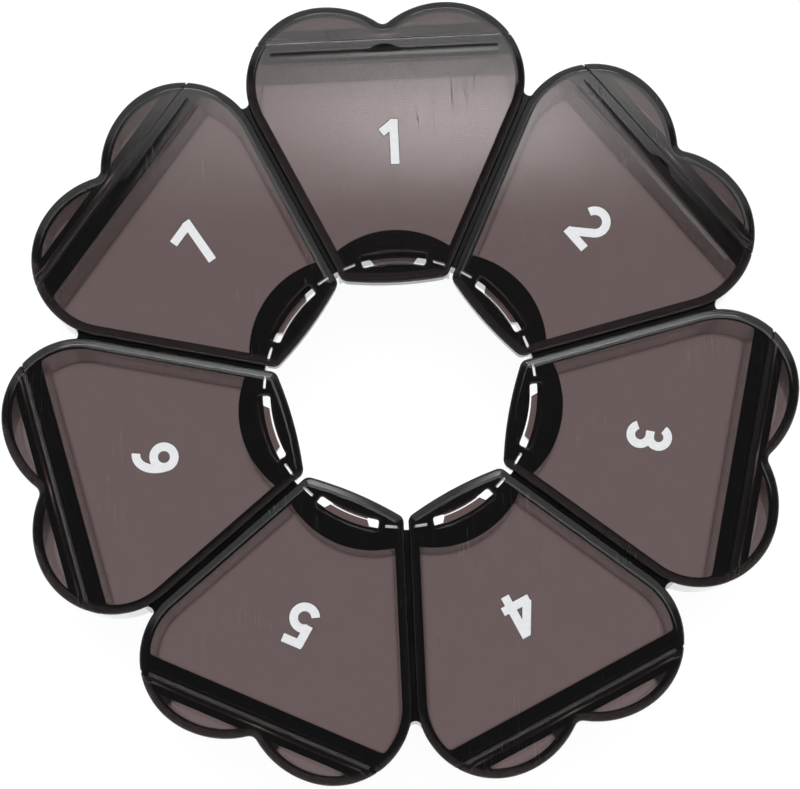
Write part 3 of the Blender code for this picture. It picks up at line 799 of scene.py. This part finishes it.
def black_plastic_and_shade():
    """The same plastic where it is too thick for light: black under a smooth face. On the webs this black is
    also painted shade, standing for the shade in the deep narrow channels between the hearts.
    """
    look = settings("pill_look")
    material, nodes = new_material("black_smoke_plastic_and_painted_shade")
    worn = noise(nodes, object_place(nodes), scale=160.0, detail=3.0)
    tone = mottled(nodes, worn.ramp(0.35, 0.7), look.solid, 1.6)
    values = {"Base Color": tone, "Roughness": 0.1 + worn * 0.12, "IOR": look.ior, "Specular IOR Level": 0.2}
    nodes.output("ShaderNodeOutputMaterial", Surface=nodes.node("ShaderNodeBsdfPrincipled", {}, values))
    return material


def ink(name, tone):
    """Matt layer with a faint unevenness: the white screen print, and the dark band round each number."""
    material, nodes = new_material(name)
    grain = noise(nodes, object_place(nodes), scale=1500.0, detail=2.0)
    values = {
        "Base Color": mottled(nodes, grain.ramp(0.3, 0.7), tone, 0.95),
        "Roughness": 0.45 + grain * 0.1,
    }
    nodes.output("ShaderNodeOutputMaterial", Surface=nodes.node("ShaderNodeBsdfPrincipled", {}, values))
    return material


def seen(nodes):
    """Three signals that are 1 for camera rays, mirror rays and see-through rays."""
    path = nodes.node("ShaderNodeLightPath").socket.node
    return [Signal(nodes, path.outputs[f"Is {kind} Ray"]) for kind in ("Camera", "Glossy", "Transmission")]


def pale_floor():
    """White for what sees it, and a diffuse share that carries the object's shadow."""
    material, nodes = new_material("pale_floor")
    camera, glossy, through = seen(nodes)
    strength = camera * FLOOR_GLOW + glossy.greatest(through)
    glow = nodes.node("ShaderNodeEmission", {}, {"Strength": strength})
    matt = nodes.node("ShaderNodeBsdfDiffuse", {}, {"Color": (FLOOR_SHADE, FLOOR_SHADE, FLOOR_SHADE, 1)})
    surface = nodes.node("ShaderNodeAddShader", {}, {0: glow, 1: matt})
    nodes.output("ShaderNodeOutputMaterial", Surface=surface)
    return material


# Operators


def tray(day):
    """Body that the cups and covers belong to."""
    return "tray"


def lid_body(day):
    """Body of a day's lid."""
    return day + "_lid"


def node(kind):
    """Function that gives the CAD node of a kind for a day."""
    return lambda day: f"{day}_{kind}"


class AddCups(bpy.types.Operator):
    """Seven heart-shaped cups with a pill room, two lobes, decks and a catch ledge"""

    bl_idname = "pill.add_cups"
    bl_label = "Cups"

    def execute(self, context):
        heart = Heart()
        cup = heart.cup
        rings = [ring(heart.cup_outline(cup.draft), 0)]
        rings += [ring(heart.cup_outline(cup.draft * (1 - part)), cup.rim * part) for part in STEADY[:-1]]
        rings += [ring(heart.cup_outline(inset), cup.rim - drop) for inset, drop in quarter(cup.rim_round)]
        body = shell("cup", rings)
        ledge = heart.ledge_outline(cup.hole + cup.draft)
        combined(body, "UNION", [prism("ledge", ledge, cup.rim - cup.ledge, cup.rim)])
        cutters = [shell("room", hollow_rings(heart.room_outline, cup.floor, cup.floor_edge, cup.rim))]
        for core in (heart.rear_core_outline(), heart.front_core_outline()):
            cutters.append(prism("core", core, -cup.draft, cup.rim - cup.deck))

        def lobe_rings(outline):
            """A lobe's hollow, with a sharper floor edge than the room's."""
            return hollow_rings(outline, cup.lobe_floor, cup.floor_edge / 3, cup.rim)

        combined(body, "DIFFERENCE", cutters + both("lobe", heart.lobe_outline, lobe_rings))
        add_to_days(finished(body), "cup_shell", smoke_plastic(), tray, node("cup"))
        return {"FINISHED"}


class AddWebs(bpy.types.Operator):
    """Seven webs that join the cups: a deep plate with a post under each end"""

    bl_idname = "pill.add_webs"
    bl_label = "Webs"

    def execute(self, context):
        heart = Heart()
        cup = heart.cup
        top = cup.rim - cup.web_drop
        body = prism("web", heart.web_outline(cup.wall / 2), cup.web_foot, top)
        inner_post = cup.hole + cup.post_setback
        spans = ((cup.hole - cup.wall, inner_post), (inner_post + cup.post, cup.web_end - cup.post))
        spaces = [prism("space", heart.web_space_outline(*span), 0, top - cup.web) for span in spans]
        combined(body, "DIFFERENCE", spaces)
        # The webs' black is partly the thick plastic and partly painted shade of the narrow channels between
        # hearts
        add_to_days(finished(body), "web", black_plastic_and_shade(), tray)
        return {"FINISHED"}


def slot_cutters(heart, top):
    """Slot with a sunk, softly edged step round it, and a slit at each end."""
    step, floor = heart.lid.slot_step, top - heart.lid.slot_step_depth
    soft = heart.cup.rim_round / 2
    below, above = heart.heart.top - heart.heart.plate, top + step
    round_edge = quarter(soft)[1:]
    sections = [(0, below - soft), (0, floor - soft)]
    sections += [(inset, floor - drop) for inset, drop in round_edge]
    sections += [(step - soft, floor), (step, floor + soft), (step, top - soft)]
    sections += [(step + inset, top - drop) for inset, drop in round_edge] + [(step + 2 * soft, above)]
    slot = shell("slot", [ring(heart.slot_outline(grow), height) for grow, height in sections])

    def slit_rings(outline):
        """A slit's straight sides with a soft edge at the top."""
        straight = [ring(outline(0), below - soft), ring(outline(0), top - soft)]
        return straight + [ring(outline(soft), top), ring(outline(soft), above)]

    return [slot] + both("slit", heart.slit_outline, slit_rings)


def crease_cutters(heart, side):
    """Box that ends a plate at the crease, and a rod along the crease that thins it from below."""
    lid, sizes = heart.lid, heart.heart
    near, far = sorted((sizes.hinge - side * lid.crease_gap / 2, sizes.hinge + side * 2 * sizes.plate))
    wide = sizes.shoulder * 2
    box = np.array(((-wide, near), (wide, near), (wide, far), (-wide, far)))
    underside = (sizes.hinge, sizes.top - sizes.plate)
    rod = arc(underside, sizes.plate - lid.crease_film, 0, 2 * math.pi, ROUND_STEPS)[:-1]
    end = prism("end", box, sizes.top - 2 * sizes.plate, sizes.top + sizes.plate)
    return [end, carried("relief", rod, heart.crease_half())]


class AddLids(bpy.types.Operator):
    """Seven lids with a slot, slits, a sink line and a moulding gate"""

    bl_idname = "pill.add_lids"
    bl_label = "Lids"

    def execute(self, context):
        heart = Heart()
        lid, sizes = heart.lid, heart.heart
        body = shell("lid", plate_rings(heart.lid_outline))
        gate = heart.gate_outline()
        front = sizes.hinge - lid.gate_setback
        floor = sizes.top - lid.gate_depth * (1 - (gate[:, 1] - front) / lid.gate_width)
        cutters = [prism("gate", gate, floor, sizes.top + lid.gate_depth)]
        sink = sizes.hinge - lid.sink_setback
        wide = heart.crease_half() - lid.edge_width / 2
        cutters.append(trough("sink", lid.sink_half, lid.sink_depth, wide, sink, sizes.top))
        combined(body, "DIFFERENCE", crease_cutters(heart, 1) + cutters + slot_cutters(heart, sizes.top))
        add_to_days(finished(body), "lid_plate", smoke_plastic(), lid_body, node("lid"))
        return {"FINISHED"}


class AddLips(bpy.types.Operator):
    """Thick lip under each lid's front edge, with a thin flange and the catch's bead on it"""

    bl_idname = "pill.add_lips"
    bl_label = "Thick lips"

    def execute(self, context):
        heart = Heart()
        lid, cup, sizes = heart.lid, heart.cup, heart.heart
        top = sizes.top - sizes.plate - lid.block_seat
        bottom = top - lid.block_depth
        edge = quarter(cup.rim_round)[::-1]
        rings = [ring(heart.block_outline(inset), bottom + drop) for inset, drop in edge]
        body = shell("lip", rings + [ring(heart.block_outline(0), top - lid.flange / 2)])
        flange = heart.lid_outline(lid.block_setback + lid.flange_inset, -lid.flange_end)
        bead = prism("bead", heart.bead_outline(), lid.bead_top - lid.bead_height, lid.bead_top)
        combined(body, "UNION", [bead, prism("flange", flange, top - lid.flange, top)])
        below, above = top - lid.slot_step, top + lid.slot_step
        slot = prism("slot", heart.slot_outline(0), below, above)
        room = prism("room", heart.room_outline(0, lid.flange_reach), below, above)

        def slit_rings(outline):
            """Straight slit through the block."""
            return [ring(outline(0), bottom - lid.slot_step), ring(outline(0), above)]

        combined(body, "DIFFERENCE", [slot, room] + both("slit", heart.slit_outline, slit_rings))
        add_to_days(finished(body), "lid_lip", black_plastic_and_shade(), lid_body)
        return {"FINISHED"}


class AddCovers(bpy.types.Operator):
    """Seven fixed covers over the hearts' lobes"""

    bl_idname = "pill.add_covers"
    bl_label = "Covers"

    def execute(self, context):
        heart = Heart()
        body = shell("cover", plate_rings(heart.cover_outline))
        combined(body, "DIFFERENCE", crease_cutters(heart, -1))
        add_to_days(finished(body), "lobe_cover", smoke_plastic(), tray, node("cover"))
        return {"FINISHED"}


def strokes(number):
    """Middle lines of a number's strokes, in a box of height 1: straight bars, and arcs given in degrees."""

    def bend(centre, radius, start, end):
        """Points centre + (rx cos a, ry sin a), where radius is one number or (rx, ry)."""
        return ring_arc(1, math.radians(start), math.radians(end), ROUND_STEPS) * radius + centre

    return {
        1: [((0.36, 0), (0.36, 1)), ((0.38, 0.93), (0.08, 0.71))],
        2: [(*bend((0.33, 0.655), 0.25, 168, -47), (0.096, 0.095)), ((0.03, 0.095), (0.62, 0.095))],
        3: [
            bend((0.31, 0.7075), 0.1975, 155, -90),
            bend((0.31, 0.3025), 0.2075, 90, -157),
            ((0.2, 0.51), (0.35, 0.51)),
        ],
        4: [((0.47, 0), (0.47, 1)), ((0.02, 0.28), (0.67, 0.28)), ((0.46, 0.96), (0.08, 0.29))],
        5: [
            ((0.13, 0.905), (0.6, 0.905)),
            ((0.215, 0.95), (0.165, 0.46)),
            bend((0.32, 0.335), 0.24, 128, -157),
        ],
        6: [
            bend((0.335, 0.32), 0.225, -10, 190),
            bend((0.335, 0.32), 0.225, 170, 370),
            bend((0.47, 0.38), (0.36, 0.525), 190, 74),
        ],
        7: [((0.02, 0.905), (0.55, 0.905)), ((0.575, 0.985), (0.23, 0))],
    }[number]


def stroke_outline(line, half_width, longer):
    """Band along a line: p + n w and p - n w, where n is the line's normal, with its ends drawn out."""
    line = line.copy()
    along = np.gradient(line, axis=0)
    along /= np.linalg.norm(along, axis=1)[:, None]
    line[0] -= along[0] * longer
    line[-1] += along[-1] * longer
    aside = along[:, ::-1] * (1, -1) * half_width
    return np.concatenate((line + aside, (line - aside)[::-1]))


class AddNumbers(bpy.types.Operator):
    """Plain numbers from 1 to 7, one printed on each lid"""

    bl_idname = "pill.add_numbers"
    bl_label = "Numbers"

    def execute(self, context):
        sizes, look = settings("pill_number"), settings("pill_look")
        top = settings("pill_heart").top
        inks = (ink("number_dark_band", look.dark_band_tone), ink("print", look.ink))
        for index, day in enumerate(DAYS):
            lines = [np.array(line, float) for line in strokes(index + 1)]
            across = np.concatenate(lines)[:, 0]
            middle = ((across.min() + across.max()) / 2, 0.5)
            for layer, (kind, material) in enumerate(zip(("number_edge", "number"), inks)):
                grow = 0 if layer else sizes.edge / sizes.height
                low = top + sizes.print * (layer + 0.5)
                bars = []
                for line in lines:
                    outline = stroke_outline(line, sizes.stroke / 2 + grow, grow)
                    outline = (outline - middle) * sizes.height + (0, sizes.place)
                    bars.append(prism("stroke", outline, low, low + sizes.print))
                mesh = combined(bars[0], "UNION", bars[1:]).data
                mesh.shade_flat()
                bpy.data.objects.remove(bars[0])
                piece = add_piece(f"{day}_{kind}", mesh, material, index)
                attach(piece, lid_body(day))
        return {"FINISHED"}


class AddHinges(bpy.types.Operator):
    """Thin film across each crease with a V-shaped groove in its top"""

    bl_idname = "pill.add_hinges"
    bl_label = "Hinge films"

    def execute(self, context):
        heart = Heart()
        lid, sizes = heart.lid, heart.heart
        half = lid.crease_gap / 2
        edge = half * FILM_SHARE
        outs = np.linspace(edge, -edge, FILM_POINTS)
        groove = np.column_stack((outs + sizes.hinge, sizes.top - lid.groove * (1 - abs(outs) / half)))
        section = np.concatenate((groove, groove[::-1] * (1, 0) + (0, sizes.top - lid.crease_film)))
        shape = finished(carried("film", section, heart.crease_half(), 2))
        material = smoke_plastic()
        for index, day in enumerate(DAYS):
            piece = add_piece(f"{day}_hinge_film", shape.copy(), material, index)
            lid_body(day)
            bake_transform(piece)
        return {"FINISHED"}


class AddStage(bpy.types.Operator):
    """Camera, pale floor, world and lamp"""

    bl_idname = "pill.add_stage"
    bl_label = "Stage"

    def execute(self, context):
        sizes = settings("pill_stage")
        scene = context.scene
        scene.view_settings.view_transform = "Standard"
        up = Vector((math.sin(sizes.heading), math.cos(sizes.heading), 0))
        target = Vector((0, 0, CAD_BOX[1].z)) - up * sizes.shift
        back = Vector((0, 0, math.cos(sizes.tilt))) - up * math.sin(sizes.tilt)
        right = up.cross(back).normalized()
        camera = linked("camera", bpy.data.cameras.new("camera"))
        camera.data.lens = sizes.lens
        camera.data.sensor_width = SENSOR
        camera.data.clip_start, camera.data.clip_end = 0.01, 50.0
        columns = Matrix((right, back.cross(right), back)).transposed()
        camera.matrix_world = Matrix.Translation(target + back * sizes.distance) @ columns.to_4x4()
        scene.camera = camera
        mesh = bpy.data.meshes.new("floor")
        square = np.array(((-1, -1), (1, -1), (1, 1), (-1, 1))) * sizes.floor / 2
        mesh.from_pydata(ring(square, FLOOR_LEVEL), [], [(0, 1, 2, 3)])
        mesh.materials.append(pale_floor())
        floor = linked("floor", mesh)
        self.add_world(scene, up)
        lamp = linked("soft_lamp", bpy.data.lights.new("soft_lamp", "AREA"))
        lamp.data.shape = "RECTANGLE"
        lamp.data.size, lamp.data.size_y = LAMP_SIZE
        lamp.data.energy = sizes.lamp
        towards = (up * math.sin(LAMP_LEAN) + Vector((0, 0, math.cos(LAMP_LEAN)))).normalized()
        lamp.location = towards * LAMP_DISTANCE
        lamp.rotation_mode = "QUATERNION"
        lamp.rotation_quaternion = towards.to_track_quat("Z", "Y")
        lamp.visible_camera = lamp.visible_glossy = lamp.visible_transmission = False
        return {"FINISHED"}

    def add_world(self, scene, up):
        """White to the camera; what mirrors see is laid out by north and east, each over height.

        The ceiling brightens to the horizon. Beyond the first heart stand a near light and a far one with a
        peak in its middle, both cut off on one side, and a small spot lights the first lid's front.
        """
        world = bpy.data.worlds.new("studio")
        scene.world = world
        world.use_nodes = True
        nodes = Nodes(world.node_tree)
        sky = nodes.node("ShaderNodeTexCoord", output="Generated")
        split = nodes.node("ShaderNodeSeparateXYZ", {}, {"Vector": sky}).socket.node
        x, y, z = (Signal(nodes, split.outputs[n]) for n in "XYZ")
        height = z.greatest(0.02)
        north = (x * up.x + y * up.y) / height
        east = (x * up.y - y * up.x) / height
        ceiling = CEILING_LIGHT + z.ramp(0.75, 0.0) * (1 - CEILING_LIGHT)
        side = east.ramp(-0.08, -0.045).greatest(north.ramp(0.2, 0.4))
        near = north.ramp(0.138, 0.175) * north.ramp(0.8, 0.5) * abs(east).ramp(0.95, 0.65) * NEAR_LIGHT
        spot = abs(east - 0.010).ramp(0.055, 0.0) * abs(north - 0.166).ramp(0.023, 0.0) * SPOT_LIGHT
        peak = north.ramp(0.85, 1.0) * north.ramp(1.4, 1.1) * abs(east).ramp(0.5, 0.25)
        far = north.ramp(0.5, 0.7) * abs(east).ramp(1.7, 1.0) * (FAR_LIGHT + peak * PEAK_LIGHT)
        camera = seen(nodes)[0]
        strength = camera + (1 - camera) * (ceiling + ((near + far) * side + spot))
        light = nodes.node("ShaderNodeBackground", {}, {"Color": (1, 1, 1, 1), "Strength": strength})
        nodes.output("ShaderNodeOutputWorld", Surface=light)


class PillPanel(bpy.types.Panel):
    """Sizes and steps of the pill organizer"""

    bl_label = "Pill organizer"
    bl_idname = "VIEW3D_PT_pill_organizer"
    bl_space_type = "VIEW_3D"
    bl_region_type = "UI"
    bl_category = "Pill organizer"

    def draw(self, context):
        for name, group in SETTINGS.items():
            box = self.layout.box()
            box.label(text=group.__doc__.rstrip("."))
            for size in group.__annotations__:
                box.prop(settings(name), size)
        for step in STEPS:
            self.layout.operator(step.bl_idname)


STEPS = (AddCups, AddWebs, AddLids, AddLips, AddCovers, AddHinges, AddNumbers, AddStage)


def register():
    """Adds the classes and the groups of sizes to Blender."""
    for group in (*SETTINGS.values(), *STEPS, PillPanel):
        bpy.utils.register_class(group)
    for name, group in SETTINGS.items():
        setattr(bpy.types.Scene, name, PointerProperty(type=group))


def unregister():
    """Takes them away again."""
    for name in SETTINGS:
        delattr(bpy.types.Scene, name)
    for group in (PillPanel, *reversed(STEPS), *reversed(SETTINGS.values())):
        bpy.utils.unregister_class(group)


def main():
    """Registers the classes and builds every piece around the frame."""
    register()
    for step in STEPS:
        group, name = step.bl_idname.split(".")
        getattr(getattr(bpy.ops, group), name)()


if __name__ == "__main__":
    main()
